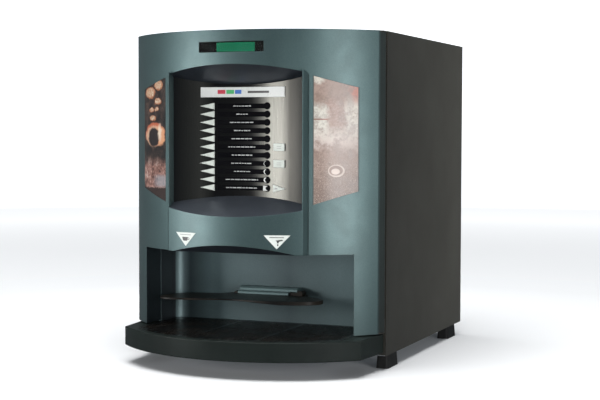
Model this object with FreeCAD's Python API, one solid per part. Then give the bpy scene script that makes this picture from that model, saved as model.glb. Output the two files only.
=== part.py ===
"""Countertop hot-beverage vending machine: sheet-metal cabinet, bowed door hinged on its right edge,
concave selection panel with sprung keys, open dispensing bay with a cup stand, drip tray and grille,
and the powder, mixing and water parts inside.

Millimetres, +Z up, front towards -Y. Geometry is laid out from the door seam plane (y = 0, z = 0 on
the counter) and shifted once, on export, so that the origin is the centre of the footprint."""

import FreeCAD
import Part
import math
import os

V = FreeCAD.Vector

# Overall envelope
CAB_W = 480.0
TOP_Z = 590.0
CAB_Z0 = 26.0
CAB_D = 483.0
TRAY_FRONT = 188.0
SEAM_Y = (TRAY_FRONT - CAB_D) / 2
SHEET = 1.5
HALF = CAB_W / 2
IN_X = HALF - SHEET

# Door front: one arc about a vertical axis behind the door, with a raised centre band
BOW_DEPTH = 130.0
BOW_R = 306.9
BOW_CY = BOW_R - BOW_DEPTH
CREASE = (232.0, -24.0)
SIDE_Y = -11.5
DOOR_Z0 = 67.0
DOOR_REAR = -1.5
WALL = 3.0
BAND_UP = 7.0
BAND_FLAT = 127.5
BAND_X = 132.0

# Door hinge and lock
PIN = (230.0, -11.5)
PIN_R = 2.5
PIN_FIT = 0.06
LOCK = (-210.0, -22.0)
LOCK_OPEN_DEG = 85.0
CAM_Z = 556.0

# Lens-shaped recess: two tilted planes and a concave panel
REC_X = 126.0
TIP_Y = -99.6
TIP_TOP = 516.0
TIP_BOT = 288.0
SLOPE_TOP = 0.51
SLOPE_BOT = 0.46
PANEL_R = 316.9
PANEL_BACK = -66.0
PANEL_CY = PANEL_BACK - PANEL_R
PANEL_T = 2.0

# Dispensing bay
BAY_X = 200.0
BAY_TOP = 207.0
ARCH_Y = -115.2
ARCH_SLOPE = 0.66
LINER_X = 201.0
LINER_BACK = 70.0
LINER_TOP = 232.0

# Keys
ROW_TOP = 461.0
ROW_PITCH = 14.3
ROWS = 11
KEY_GAP = 0.35
KEY_PROUD = 2.0
BOARD_Y = PANEL_BACK + 9.4
STEM_END = PANEL_BACK + 5.4

# Drip tray
TRAY_Z0 = 31.0
TRAY_Z1 = 65.0
TRAY_R = 309.6
TRAY_CY = TRAY_R - TRAY_FRONT
TRAY_CORNER = (226.0, -90.0)
TRAY_SIDE = (235.0, -1.0)
TRAY_REAR_X = 198.0
TRAY_REAR_Y = 66.0
RIM_W = 14.0
GRILLE_X = 196.0
GRILLE_Y = 61.0
GRILLE_T = 4.0
GRILLE_GAP = 0.5

# Powder canisters and mixers
CAN_X = (-134.0, 0.0, 134.0)
CAN_HALF = 64.0
CAN_Y0 = 165.0
CAN_Y1 = 440.0
CAN_Z0 = 331.0
CAN_Z1 = 556.0
CAN_T = 2.5
AUGER_Z = CAN_Z0 + CAN_T + 18.0
SHELF_Z = 328.5
MIX_Z = 250.0
MIX_Y = 146.0


def box(x0, x1, y0, y1, z0, z1):
    return Part.makeBox(x1 - x0, y1 - y0, z1 - z0, V(x0, y0, z0))


def cyl_z(r, x, y, z0, z1):
    return Part.makeCylinder(r, z1 - z0, V(x, y, z0))


def cyl_y(r, x, z, y0, y1):
    return Part.makeCylinder(r, y1 - y0, V(x, y0, z), V(0, 1, 0))


def ring_z(r0, r1, cy, z0, z1):
    return cyl_z(r1, 0, cy, z0, z1).cut(cyl_z(r0, 0, cy, z0 - 1, z1 + 1))


def polygon(points):
    return Part.Face(Part.makePolygon(list(points) + [points[0]]))


def prism_z(points, z0, z1):
    return polygon([V(x, y, z0) for x, y in points]).extrude(V(0, 0, z1 - z0))


def prism_y(points, y0, y1):
    return polygon([V(x, y0, z) for x, z in points]).extrude(V(0, y1 - y0, 0))


def prism_x(points, x0, x1):
    return polygon([V(x0, y, z) for y, z in points]).extrude(V(x1 - x0, 0, 0))


def grow(points, d):
    """Offset a convex polygon outwards by d."""
    area = sum(a[0] * b[1] - b[0] * a[1] for a, b in zip(points, points[1:] + points[:1]))
    pts = points if area > 0 else points[::-1]
    lines = []
    for a, b in zip(pts, pts[1:] + pts[:1]):
        length = math.hypot(b[0] - a[0], b[1] - a[1])
        n = ((b[1] - a[1]) / length, -(b[0] - a[0]) / length)
        lines.append((n, n[0] * a[0] + n[1] * a[1] + d))
    out = []
    for (n, c), (m, e) in zip(lines[-1:] + lines[:-1], lines):
        det = n[0] * m[1] - n[1] * m[0]
        out.append(((c * m[1] - e * n[1]) / det, (n[0] * e - m[0] * c) / det))
    return out


def fuse(shapes):
    out = shapes[0]
    for s in shapes[1:]:
        out = out.fuse(s)
    return out.removeSplitter()


def cut(shape, tools):
    for t in tools:
        shape = shape.cut(t)
    return shape


def group(shapes):
    return Part.makeCompound(shapes)


def save(name, shape):
    shape = shape.copy()
    shape.translate(V(0, SEAM_Y, 0))
    shape.exportStep("parts/" + name + ".step")


def bow_y(x, r=BOW_R):
    """Y of the convex door surface of radius r at x."""
    return BOW_CY - math.sqrt(r * r - x * x)


def panel_y(x, r=PANEL_R):
    """Y of the concave panel surface of radius r at x."""
    return PANEL_CY + math.sqrt(r * r - x * x)


def top_plane(y):
    return TIP_TOP + SLOPE_TOP * (TIP_Y - y)


def bottom_plane(y):
    return TIP_BOT - SLOPE_BOT * (TIP_Y - y)


def row_z(i):
    return ROW_TOP - ROW_PITCH * i


def line(a, b):
    return Part.makeLine(V(a[0], a[1], 0), V(b[0], b[1], 0))


def arc(a, m, b):
    return Part.Arc(V(a[0], a[1], 0), V(m[0], m[1], 0), V(b[0], b[1], 0)).toShape()


def extrude_outline(edges, z0, z1):
    face = Part.Face(Part.Wire(edges))
    face.translate(V(0, 0, z0))
    return face.extrude(V(0, 0, z1 - z0))


def rounded_box(x0, x1, y0, y1, z0, z1, r):
    b = box(x0, x1, y0, y1, z0, z1)
    edges = [e for e in b.Edges if abs(e.BoundBox.ZLength - (z1 - z0)) < 1e-6]
    return b.makeFillet(r, edges)


# ---------------------------------------------------------------- cabinet sheet metal
FLANGE_X = 226.0
REAR_IN = CAB_D - 3.1
REAR_OUT = CAB_D - 1.6
LIP = 18.0
SCREW_HOLE_R = 2.1
SIDE_SCREW_X = 232.0
SIDE_SCREW_Z = (60.0, 220.0, 400.0, 560.0)


def side_panel(s):
    plate = box(IN_X, HALF, 0, CAB_D, CAB_Z0, TOP_Z)
    front = box(FLANGE_X, HALF, 0, SHEET, CAB_Z0 + SHEET, TOP_Z - SHEET)
    rear = box(FLANGE_X, HALF, REAR_IN - SHEET, REAR_IN, CAB_Z0 + SHEET, TOP_Z - SHEET)
    panel = fuse([plate, front, rear])
    holes = [cyl_y(SCREW_HOLE_R, SIDE_SCREW_X, z, REAR_IN - 5, REAR_IN + 5) for z in SIDE_SCREW_Z]
    panel = cut(panel, holes)
    return panel if s > 0 else panel.mirror(V(0, 0, 0), V(1, 0, 0))


os.makedirs("parts", exist_ok=True)
save("right_side_panel", side_panel(1))
save("left_side_panel", side_panel(-1))

PLATE_X = IN_X - 0.1
LIP_X = FLANGE_X - 0.2
top = fuse([
    box(-PLATE_X, PLATE_X, 0, CAB_D, TOP_Z - SHEET, TOP_Z),
    box(-LIP_X, LIP_X, 0, SHEET, TOP_Z - LIP, TOP_Z),
    box(-LIP_X, LIP_X, REAR_IN - SHEET, REAR_IN, TOP_Z - LIP, TOP_Z),
    box(-PLATE_X, -PLATE_X + SHEET, 4, REAR_IN - 2, TOP_Z - LIP, TOP_Z),
    box(PLATE_X - SHEET, PLATE_X, 4, REAR_IN - 2, TOP_Z - LIP, TOP_Z),
])
TOP_SCREW_X = (-120.0, 120.0)
TOP_SCREW_Z = TOP_Z - 10.0
top = cut(top, [cyl_y(SCREW_HOLE_R, x, TOP_SCREW_Z, REAR_IN - 5, REAR_IN + 5) for x in TOP_SCREW_X])
save("top_panel", top)

# Base pan with rear and side lips, and a tongue with two ribs that carries the drip tray
TONGUE_X = 170.0
TONGUE_Y = -110.0
RIB_X = 140.0
RIB_HALF = 5.0
WATER_XY = (150.0, 430.0)
WATER_HOLE_R = 11.2
base = fuse([
    box(-PLATE_X, PLATE_X, 0, REAR_IN, CAB_Z0, CAB_Z0 + SHEET),
    box(-TONGUE_X, TONGUE_X, TONGUE_Y, 1, CAB_Z0, CAB_Z0 + SHEET),
    box(-PLATE_X, -PLATE_X + SHEET, 4, REAR_IN - 2, CAB_Z0, CAB_Z0 + LIP),
    box(PLATE_X - SHEET, PLATE_X, 4, REAR_IN - 2, CAB_Z0, CAB_Z0 + LIP),
    box(-LIP_X, LIP_X, REAR_IN - SHEET, REAR_IN, CAB_Z0, CAB_Z0 + LIP),
    box(-RIB_X - RIB_HALF, -RIB_X + RIB_HALF, TONGUE_Y + 5, TRAY_REAR_Y - 4, CAB_Z0, TRAY_Z0 - 0.1),
    box(RIB_X - RIB_HALF, RIB_X + RIB_HALF, TONGUE_Y + 5, TRAY_REAR_Y - 4, CAB_Z0, TRAY_Z0 - 0.1),
])
base = cut(base, [cyl_z(WATER_HOLE_R, WATER_XY[0], WATER_XY[1], CAB_Z0 - 5, CAB_Z0 + 5)])
VENT_X0 = -60.0
VENT_W = 6.0
VENT_PITCH = 12.0
VENT_Y = (300.0, 380.0)
VENT_COUNT = 10
vent_x = [VENT_X0 + VENT_PITCH * i for i in range(VENT_COUNT)]
vents = [box(x, x + VENT_W, VENT_Y[0], VENT_Y[1], CAB_Z0 - 1, CAB_Z0 + 3) for x in vent_x]
save("base_pan", cut(base, vents))

# Rear panel with two louvre fields and the mains inlet cut-out
INLET = (-180.0, 90.0)
INLET_HALF = (24.0, 14.0)
LOUVRE_X = (-110.0, 110.0)
LOUVRE_HALF = 55.0
LOUVRE_H = 4.0
LOUVRE_PITCH = 9.0
UPPER_LOUVRE = (430.0, 12)
LOWER_LOUVRE = (150.0, 8)
rear = box(-PLATE_X, PLATE_X, REAR_IN, REAR_OUT, CAB_Z0 + 1.6, TOP_Z - SHEET - 0.1)
louvres = [(cx, UPPER_LOUVRE[0] + LOUVRE_PITCH * i) for cx in LOUVRE_X for i in range(UPPER_LOUVRE[1])]
louvres += [(0.0, LOWER_LOUVRE[0] + LOUVRE_PITCH * i) for i in range(LOWER_LOUVRE[1])]
rear_cuts = [box(cx - LOUVRE_HALF, cx + LOUVRE_HALF, REAR_IN - 1, REAR_OUT + 1, z, z + LOUVRE_H)
             for cx, z in louvres]
screw_xz = [(s * SIDE_SCREW_X, z) for s in (-1, 1) for z in SIDE_SCREW_Z]
screw_xz += [(x, TOP_SCREW_Z) for x in TOP_SCREW_X]
rear_cuts += [cyl_y(SCREW_HOLE_R, x, z, REAR_IN - 1, REAR_OUT + 1) for x, z in screw_xz]
rear_cuts.append(box(INLET[0] - INLET_HALF[0], INLET[0] + INLET_HALF[0], REAR_IN - 1, REAR_OUT + 1,
                     INLET[1] - INLET_HALF[1], INLET[1] + INLET_HALF[1]))
save("rear_panel", cut(rear, rear_cuts))

# Cross-head screws
SCREW_R = 2.0
HEAD_R = 4.0
CROSS_L = 3.0
CROSS_W = 0.5
CROSS_Y = CAB_D - 0.8
screws = []
for x, z in screw_xz:
    head = cyl_y(HEAD_R, x, z, REAR_OUT, CAB_D)
    head = head.cut(box(x - CROSS_L, x + CROSS_L, CROSS_Y, CAB_D + 1, z - CROSS_W, z + CROSS_W))
    head = head.cut(box(x - CROSS_W, x + CROSS_W, CROSS_Y, CAB_D + 1, z - CROSS_L, z + CROSS_L))
    screws.append(head.fuse(cyl_y(SCREW_R, x, z, REAR_IN - 6, REAR_OUT)))
save("panel_screws", group(screws))

# Front frame behind the door: bay opening, canister opening and the lock striker
FRAME_Y = 1.6
FRAME_X = IN_X - 0.6
OPEN_X = 205.0
OPEN_Z = (250.0, 571.0)
CAM_SLOT = (-223.0, CAM_Z - 5, CAM_Z + 8)
STRIKER_R = 2.5
STRIKER = (LOCK[0] - 6.5, 12.0)
frame = box(-FRAME_X, FRAME_X, FRAME_Y, FRAME_Y + SHEET, CAB_Z0 + 1.6, TOP_Z - SHEET - 0.2)
frame = cut(frame, [
    box(-LINER_X, LINER_X, 0, 5, 20, LINER_TOP - 1.5),
    box(-OPEN_X, OPEN_X, 0, 5, OPEN_Z[0], OPEN_Z[1]),
    box(CAM_SLOT[0], -OPEN_X + 1, 0, 5, CAM_SLOT[1], CAM_SLOT[2]),
])
tab = box(STRIKER[0] - 5, -OPEN_X - 1, FRAME_Y, 18, CAM_Z - 10, CAM_Z - 8)
post = cyl_z(STRIKER_R, STRIKER[0], STRIKER[1], CAM_Z - 10, CAM_Z + 7)
save("front_frame", fuse([frame, tab, post]))

# Block feet, wider at the floor
FOOT_X = 225.0
FOOT_Y = (51.0, 431.0)
FOOT_R = 5.0
FOOT_LOW = (11.5, 30.0)
FOOT_HIGH = (10.0, 27.5)


def foot_outline(cx, cy, half, z):
    slab = rounded_box(cx - half[0], cx + half[0], cy - half[1], cy + half[1], z, z + 1, FOOT_R)
    return [f for f in slab.Faces if abs(f.CenterOfMass.z - z) < 1e-6][0].OuterWire


feet = [Part.makeLoft([foot_outline(s * FOOT_X, y, FOOT_LOW, 0.0), foot_outline(s * FOOT_X, y, FOOT_HIGH, CAB_Z0)],
                      True, True) for s in (-1, 1) for y in FOOT_Y]
save("levelling_feet", group(feet))

# ---------------------------------------------------------------- dispensing bay
LINER_R = 25.0
LINER_Z0 = 28.0
outer = rounded_box(-LINER_X - SHEET, LINER_X + SHEET, -60, LINER_BACK + SHEET, LINER_Z0, LINER_TOP,
                    LINER_R + SHEET)
inner = rounded_box(-LINER_X, LINER_X, -61, LINER_BACK, 20, LINER_TOP - SHEET, LINER_R)
liner = outer.cut(inner).common(box(-300, 300, FRAME_Y + SHEET + 0.1, 200, 0, 400))
SPOUT_Y = 28.0
BLOCK_HALF = (50.0, 16.0)
BLOCK_GAP = 2.0
liner = liner.cut(box(-BLOCK_HALF[0] - BLOCK_GAP, BLOCK_HALF[0] + BLOCK_GAP, SPOUT_Y - BLOCK_HALF[1] - BLOCK_GAP,
                      SPOUT_Y + BLOCK_HALF[1] + BLOCK_GAP, LINER_TOP - 5, LINER_TOP + 5))
save("bay_liner", liner)

# Bracket on the bay's rear wall: a short lower ledge under a longer upper one
BRACKET = (-62.0, 53.0)
BRACKET_BASE = 106.0
BRACKET_TOP = 131.0
LEDGE_END = 38.0
LEDGE_Z = 124.0
LEDGE_Y = 40.0
UPPER_Y = 49.0
STAND_Z0 = 115.0
STAND_Z1 = 118.0
STAND_GAP = 0.3
bracket = fuse([
    box(BRACKET[0], BRACKET[1], LINER_BACK - 4, LINER_BACK, BRACKET_BASE, BRACKET_TOP),
    prism_x([(LINER_BACK, LEDGE_Z), (LINER_BACK, BRACKET_TOP), (UPPER_Y + 3, BRACKET_TOP),
             (UPPER_Y, BRACKET_TOP - 3), (UPPER_Y, LEDGE_Z)], BRACKET[0], BRACKET[1]),
    prism_x([(LINER_BACK, STAND_Z1 + STAND_GAP), (LINER_BACK, LEDGE_Z), (LEDGE_Y + 2, LEDGE_Z),
             (LEDGE_Y, LEDGE_Z - 2), (LEDGE_Y, STAND_Z1 + STAND_GAP)], BRACKET[0], LEDGE_END),
    box(BRACKET[0] + 8, BRACKET[1] - 8, LEDGE_Y + 6, LINER_BACK, BRACKET_BASE, STAND_Z0 - STAND_GAP),
])
save("cup_stand_bracket", bracket)

# Two-lobed cup stand plate with a deeper right-hand front edge and a lug on each side of the bracket
LIP_DEPTH = 3.5
stand_pts = [(67, 64), (69, 50), (80, 38), (99, 27), (117, 11), (121, 1), (115, -20), (107, -29), (93, -36),
             (58, -46), (24, -49), (-6, -47), (-43, -45), (-87, -56), (-130, -68), (-152, -69), (-169, -61),
             (-176, -44), (-173, -20), (-162, 6), (-145, 20), (-100, 30), (-84, 40), (-80, 52), (-79, 64)]
spline = Part.BSplineCurve()
spline.interpolate([V(x, y, 0) for x, y in stand_pts])
stand_edges = [spline.toShape(), line(stand_pts[-1], stand_pts[0])]
stand_lip = extrude_outline(stand_edges, STAND_Z0 - LIP_DEPTH, STAND_Z0 + 1)
stand_lip = stand_lip.common(prism_y([(-10, STAND_Z0 + 1), (-10, STAND_Z0), (58, STAND_Z0 - LIP_DEPTH),
                                      (150, STAND_Z0 - LIP_DEPTH), (150, STAND_Z0 + 1)], -100, 30))
LUG_Y = (44.0, 62.0)
RIGHT_LUG = (5.4, 59.6, 121.3)
LEFT_LUG = (3.6, -67.5, 118.4)
stand = fuse([
    extrude_outline(stand_edges, STAND_Z0, STAND_Z1), stand_lip,
    box(LEDGE_END + 1.5, RIGHT_LUG[1], *LUG_Y, STAND_Z1 - 1, LEDGE_Z - 0.6),
    cyl_y(*RIGHT_LUG, *LUG_Y), cyl_y(*LEFT_LUG, *LUG_Y),
])
save("cup_stand", stand)


def tray_outline(inset, half, rear):
    """Closed outline: bowed front parallel to the tray front, straight sides and rear."""
    r = TRAY_R - inset
    y = TRAY_CY - math.sqrt(r * r - half * half)
    return [arc((-half, y), (0, TRAY_CY - r), (half, y)), line((half, y), (half, rear)),
            line((half, rear), (-half, rear)), line((-half, rear), (-half, y))]


TRAY_REAR_R = 24.0
TRAY_FLOOR = 2.5
LEDGE_W = 8.0
POCKET_R = 20.0
BASIN_R = 14.0
cx, cy = TRAY_CORNER
sx, sy = TRAY_SIDE
rear_x = TRAY_REAR_X - TRAY_REAR_R
rear_y = TRAY_REAR_Y - TRAY_REAR_R
diag = TRAY_REAR_R * math.cos(math.pi / 4)
body = extrude_outline([
    arc((-cx, cy), (0, -TRAY_FRONT), (cx, cy)),
    line((cx, cy), (sx, sy)), line((sx, sy), (TRAY_REAR_X, sy)), line((TRAY_REAR_X, sy), (TRAY_REAR_X, rear_y)),
    arc((TRAY_REAR_X, rear_y), (rear_x + diag, rear_y + diag), (rear_x, TRAY_REAR_Y)),
    line((rear_x, TRAY_REAR_Y), (-rear_x, TRAY_REAR_Y)),
    arc((-rear_x, TRAY_REAR_Y), (-rear_x - diag, rear_y + diag), (-TRAY_REAR_X, rear_y)),
    line((-TRAY_REAR_X, rear_y), (-TRAY_REAR_X, sy)), line((-TRAY_REAR_X, sy), (-sx, sy)),
    line((-sx, sy), (-cx, cy)),
], TRAY_Z0, TRAY_Z1)
rims = [e for e in body.Edges if e.BoundBox.ZLength < 1e-6 and e.CenterOfMass.y < sy - 1]
body = body.makeFillet(2.0, rims)
pocket_x = GRILLE_X + GRILLE_GAP
basin_x = GRILLE_X - LEDGE_W
basin_z = TRAY_Z0 + TRAY_FLOOR
pocket_tools = [
    extrude_outline(tray_outline(RIM_W - GRILLE_GAP, pocket_x, 20), TRAY_Z1 - GRILLE_T, TRAY_Z1 + 5),
    rounded_box(-pocket_x, pocket_x, -40, GRILLE_Y + GRILLE_GAP, TRAY_Z1 - GRILLE_T, TRAY_Z1 + 5, POCKET_R),
    extrude_outline(tray_outline(RIM_W + LEDGE_W, basin_x, 20), basin_z, TRAY_Z1),
    rounded_box(-basin_x, basin_x, -40, GRILLE_Y - 7, basin_z, TRAY_Z1, BASIN_R),
]
save("drip_tray", cut(body, pocket_tools))

# Slotted grille: long slots in three columns, kept inside a solid border
grille_z = (TRAY_Z1 - GRILLE_T + 0.1, TRAY_Z1 + 0.1)
grille = fuse([
    extrude_outline(tray_outline(RIM_W, GRILLE_X, 20), *grille_z),
    rounded_box(-GRILLE_X, GRILLE_X, -40, GRILLE_Y, *grille_z, POCKET_R - GRILLE_GAP),
])
BORDER = 9.0
BAR_X = 62.0
BAR_HALF = 3.0
SLOT_W = 6.0
SLOT_PITCH = 11.0
LAST_SLOT_Y = -165.0
CORNER_INSET = 24.0
GRILLE_FRONT_R = TRAY_R - RIM_W - BORDER
slots = []
y = GRILLE_Y - BORDER - SLOT_W
while y > LAST_SLOT_Y:
    reach = GRILLE_FRONT_R ** 2 - (y - TRAY_CY) ** 2
    limit = min(GRILLE_X - BORDER, math.sqrt(reach)) if reach > 0 else 0.0
    if y > 30.0:
        limit = min(limit, GRILLE_X - CORNER_INSET)
    for x0, x1 in ((-limit, -BAR_X - BAR_HALF), (-BAR_X + BAR_HALF, BAR_X - BAR_HALF), (BAR_X + BAR_HALF, limit)):
        x0 = max(x0, -limit)
        x1 = min(x1, limit)
        if x1 - x0 > 2 * SLOT_W:
            slots.append(box(x0, x1, y, y + SLOT_W, TRAY_Z1 - 6, TRAY_Z1 + 2))
    y -= SLOT_PITCH
save("drip_grille", cut(grille, slots))

# ---------------------------------------------------------------- door shell
cr_x, cr_y = CREASE
pin_x, pin_y = PIN
edge_r = HALF - pin_x
mid = (pin_x + edge_r * math.cos(math.pi / 4), pin_y + edge_r * math.sin(math.pi / 4))
door = extrude_outline([
    line((-HALF, DOOR_REAR), (-HALF, SIDE_Y)), line((-HALF, SIDE_Y), (-cr_x, cr_y)),
    arc((-cr_x, cr_y), (0, BOW_CY - BOW_R), (cr_x, cr_y)),
    line((cr_x, cr_y), (HALF, SIDE_Y)),
    arc((HALF, SIDE_Y), mid, (pin_x, DOOR_REAR)),
    line((pin_x, DOOR_REAR), (-HALF, DOOR_REAR)),
], DOOR_Z0, TOP_Z)
band_r = BOW_R + BAND_UP
bx, by = BAND_FLAT, bow_y(BAND_FLAT, band_r)
ex, ey = BAND_X, bow_y(BAND_X)
band = extrude_outline([
    arc((-bx, by), (0, BOW_CY - band_r), (bx, by)),
    line((bx, by), (ex, ey)), line((ex, ey), (ex, -60)), line((ex, -60), (-ex, -60)),
    line((-ex, -60), (-ex, ey)), line((-ex, ey), (-bx, by)),
], BAY_TOP - 5, TIP_TOP + 60)
FAR_Y = -200.0
band = band.cut(prism_x([(FAR_Y, top_plane(FAR_Y)), (0, top_plane(0)), (0, 700), (FAR_Y, 700)], -150, 150))
door = door.fuse(band)


def recess_wedge(extra, half, back_r):
    """Space between the two tilted planes in front of a concave wall of radius back_r."""
    wedge = prism_x([(FAR_Y, top_plane(FAR_Y) + extra), (0, top_plane(0) + extra),
                     (0, bottom_plane(0) - extra), (FAR_Y, bottom_plane(FAR_Y) - extra)], -half, half)
    return wedge.common(cyl_z(back_r, 0, PANEL_CY, 200, 620))


SHELL_BACK = PANEL_R + PANEL_T
door = door.cut(recess_wedge(0, REC_X, SHELL_BACK))
door = door.cut(box(-BAY_X, BAY_X, -200, 10, 50, BAY_TOP))
ARCH_FRONT = -BOW_DEPTH - 20
arch_rise = ARCH_SLOPE * (ARCH_Y - ARCH_FRONT)
door = door.cut(prism_x([(ARCH_FRONT, BAY_TOP - 5), (ARCH_FRONT, BAY_TOP + arch_rise),
                         (ARCH_Y, BAY_TOP), (ARCH_Y, BAY_TOP - 5)], -BAY_X, BAY_X))

in_r = BOW_R - WALL
in_x = cr_x - WALL
in_y = bow_y(in_x, in_r)
cavity = extrude_outline([
    line((-HALF + WALL, 5), (-HALF + WALL, SIDE_Y)), line((-HALF + WALL, SIDE_Y), (-in_x, in_y)),
    arc((-in_x, in_y), (0, BOW_CY - in_r), (in_x, in_y)),
    line((in_x, in_y), (HALF - WALL, SIDE_Y)), line((HALF - WALL, SIDE_Y), (HALF - WALL, 5)),
    line((HALF - WALL, 5), (-HALF + WALL, 5)),
], DOOR_Z0 + WALL, TOP_Z - WALL)
BLOCK_H = 24.0
BLOCK_X = 217.0
cavity = cut(cavity, [
    recess_wedge(WALL, REC_X + WALL, SHELL_BACK + WALL),
    box(-BAY_X - WALL, BAY_X + WALL, -200, 10, 50, BAY_TOP + WALL),
    prism_x([(ARCH_FRONT, BAY_TOP), (ARCH_FRONT, BAY_TOP + arch_rise + 4),
             (ARCH_Y, BAY_TOP + 4), (ARCH_Y, BAY_TOP)], -BAY_X - WALL, BAY_X + WALL),
    box(BLOCK_X, 260, -60, 10, TOP_Z - BLOCK_H, TOP_Z),
    box(BLOCK_X, 260, -60, 10, DOOR_Z0, DOOR_Z0 + BLOCK_H),
])
door = door.cut(cavity)

# Key window in the recess wall, display window, lock hole, hinge pockets and bores
KEY_WIN_X = 96.0
KEY_WIN_Z = (306.0, 474.0)
LCD_X = 60.5
LCD_Z0 = 552.0
LCD_Z1 = 569.6
FIT = 0.3
POCKET = (221.0, 245.0, -21.5, 5.0)
PLATE_T = 2.4
BARREL_R = 9.0
BORE_DEPTH = 20.0
door = cut(door, [
    box(-KEY_WIN_X, KEY_WIN_X, PANEL_BACK - 29, PANEL_BACK + 21, *KEY_WIN_Z),
    box(-LCD_X - FIT, LCD_X + FIT, -BOW_DEPTH - 15, -BOW_DEPTH + 25, LCD_Z0 - FIT, LCD_Z1 + FIT),
    cyl_z(BARREL_R + 0.2, LOCK[0], LOCK[1], TOP_Z - 10, TOP_Z + 5),
    box(*POCKET, TOP_Z - PLATE_T - 0.4, TOP_Z + 5),
    box(*POCKET, DOOR_Z0 - 5, DOOR_Z0 + PLATE_T + 0.4),
    cyl_z(PIN_R + PIN_FIT, pin_x, pin_y, TOP_Z - BORE_DEPTH, TOP_Z),
    cyl_z(PIN_R + PIN_FIT, pin_x, pin_y, DOOR_Z0, DOOR_Z0 + BORE_DEPTH),
])

# Shadow gaps beside the band and shallow pockets for the side posters
GAP_W = 1.6
GAP_D = 1.5
gap_ring = ring_z(BOW_R - GAP_D, BOW_R + 1, BOW_CY, BAY_TOP - 1, TIP_TOP - 2)
gap_ring = gap_ring.common(box(-300, 300, -200, 0, 0, 700))
POSTER = [(140.0, 511.0), (206.0, 491.5), (206.0, 315.0), (140.0, 292.5)]
POSTER_T = 1.0
face_ring = ring_z(BOW_R - POSTER_T - 0.1, BOW_R + 1, BOW_CY, 200, 600).common(box(-300, 300, -200, 0, 0, 700))
for s in (-1, 1):
    x0, x1 = sorted((s * BAND_X, s * (BAND_X + GAP_W)))
    door = door.cut(gap_ring.common(box(x0, x1, -200, 0, 0, 700)))
    shape = [(s * x, z) for x, z in POSTER]
    door = door.cut(face_ring.common(prism_y(grow(shape, FIT), -200, 0)))
save("door_shell", door)

skin = ring_z(BOW_R - POSTER_T, BOW_R, BOW_CY, 200, 600).common(box(-300, 300, -200, 0, 0, 700))
save("side_posters", group([skin.common(prism_y([(s * x, z) for x, z in POSTER], -200, 0)) for s in (-1, 1)]))

band_skin = ring_z(band_r, band_r + 0.5, BOW_CY, 200, 300).common(box(-300, 300, -200, 0, 0, 700))
BADGE_X = 86.0
BADGE_Z = 230.0
badge = [(-22, 11), (22, 11), (0, -12.5)]
badges = []
for s in (-1, 1):
    shape = [(s * BADGE_X + x, BADGE_Z + z) for x, z in badge]
    badges.append(band_skin.common(prism_y(shape, -200, 0)))
save("pictograms", group(badges))

# Door back plate: closes the upper cavity and the left leg, with a slot for the lock cam
BACK_Y = -3.0
back = box(-HALF + WALL + 1, 226, BACK_Y, DOOR_REAR, DOOR_Z0 + WALL + 0.5, TOP_Z - WALL - 0.5)
back = cut(back, [
    box(-BAY_X - WALL - 0.5, BAY_X + WALL + 0.5, -10, 5, 0, BAY_TOP + WALL + 0.5),
    box(BLOCK_X - 0.5, 240, -10, 5, TOP_Z - BLOCK_H - 1, TOP_Z),
    box(BLOCK_X - 0.5, 240, -10, 5, 0, DOOR_Z0 + BLOCK_H + 1),
    box(CAM_SLOT[0], -158, -10, 5, CAM_SLOT[1], CAM_SLOT[2]),
])
save("door_back_plate", back)

# ---------------------------------------------------------------- hinge brackets and lock
ARM_R = 7.5
PIN_REACH = 18.0
LEAF_H = 22.0
LEAF_Y = (-1.3, -0.1)
hinges = []
for z0, z1, pin0, pin1 in ((TOP_Z - PLATE_T, TOP_Z, TOP_Z - PIN_REACH, TOP_Z - PLATE_T),
                           (DOOR_Z0, DOOR_Z0 + PLATE_T, DOOR_Z0 + PLATE_T, DOOR_Z0 + PIN_REACH)):
    leaf = (z0 - LEAF_H, z1) if z1 == TOP_Z else (z0, z1 + LEAF_H)
    hinges.append(fuse([
        cyl_z(ARM_R, pin_x, pin_y, z0, z1), box(pin_x - ARM_R, pin_x + ARM_R, pin_y, LEAF_Y[1], z0, z1),
        cyl_z(PIN_R, pin_x, pin_y, pin0 - 0.1, pin1 + 0.1), box(pin_x - ARM_R, pin_x + ARM_R, *LEAF_Y, *leaf),
    ]))
save("hinge_brackets", group(hinges))

CAM_R = 6.0
CAM_FIT = 0.06
CAM_T = 3.5
NUT_R = 13.0
NUT_T = 5.0
HOOK_Y = (15.2, 20.0)
lock_x, lock_y = LOCK
barrel = cyl_z(BARREL_R, lock_x, lock_y, TOP_Z - 30, TOP_Z)
barrel = barrel.cut(cyl_z(CAM_R + CAM_FIT, lock_x, lock_y, 0, 700))
nut = prism_z([(lock_x + NUT_R * math.cos(math.radians(a)), lock_y + NUT_R * math.sin(math.radians(a)))
               for a in range(0, 360, 60)], TOP_Z - WALL - NUT_T, TOP_Z - WALL)
barrel = barrel.fuse(nut.cut(cyl_z(BARREL_R - 1, lock_x, lock_y, 0, 700)))
save("lock_barrel", barrel)

# Cam spindle with a keyway, and an arm ending in a hook that goes behind the striker
cam = fuse([
    cyl_z(CAM_R, lock_x, lock_y, CAM_Z, TOP_Z - 0.5),
    cyl_z(CAM_R + 2, lock_x, lock_y, CAM_Z, CAM_Z + CAM_T),
    box(lock_x - 3.5, lock_x + 5.5, lock_y, HOOK_Y[1], CAM_Z, CAM_Z + CAM_T),
    box(lock_x - 11, lock_x + 5.5, *HOOK_Y, CAM_Z, CAM_Z + CAM_T),
])
cam = cam.cut(box(lock_x - 4, lock_x + 4, lock_y - 0.7, lock_y + 0.7, TOP_Z - 8, TOP_Z + 1))
cam.rotate(V(lock_x, lock_y, 0), V(0, 0, 1), -LOCK_OPEN_DEG)
save("lock_cam", cam)

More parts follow.
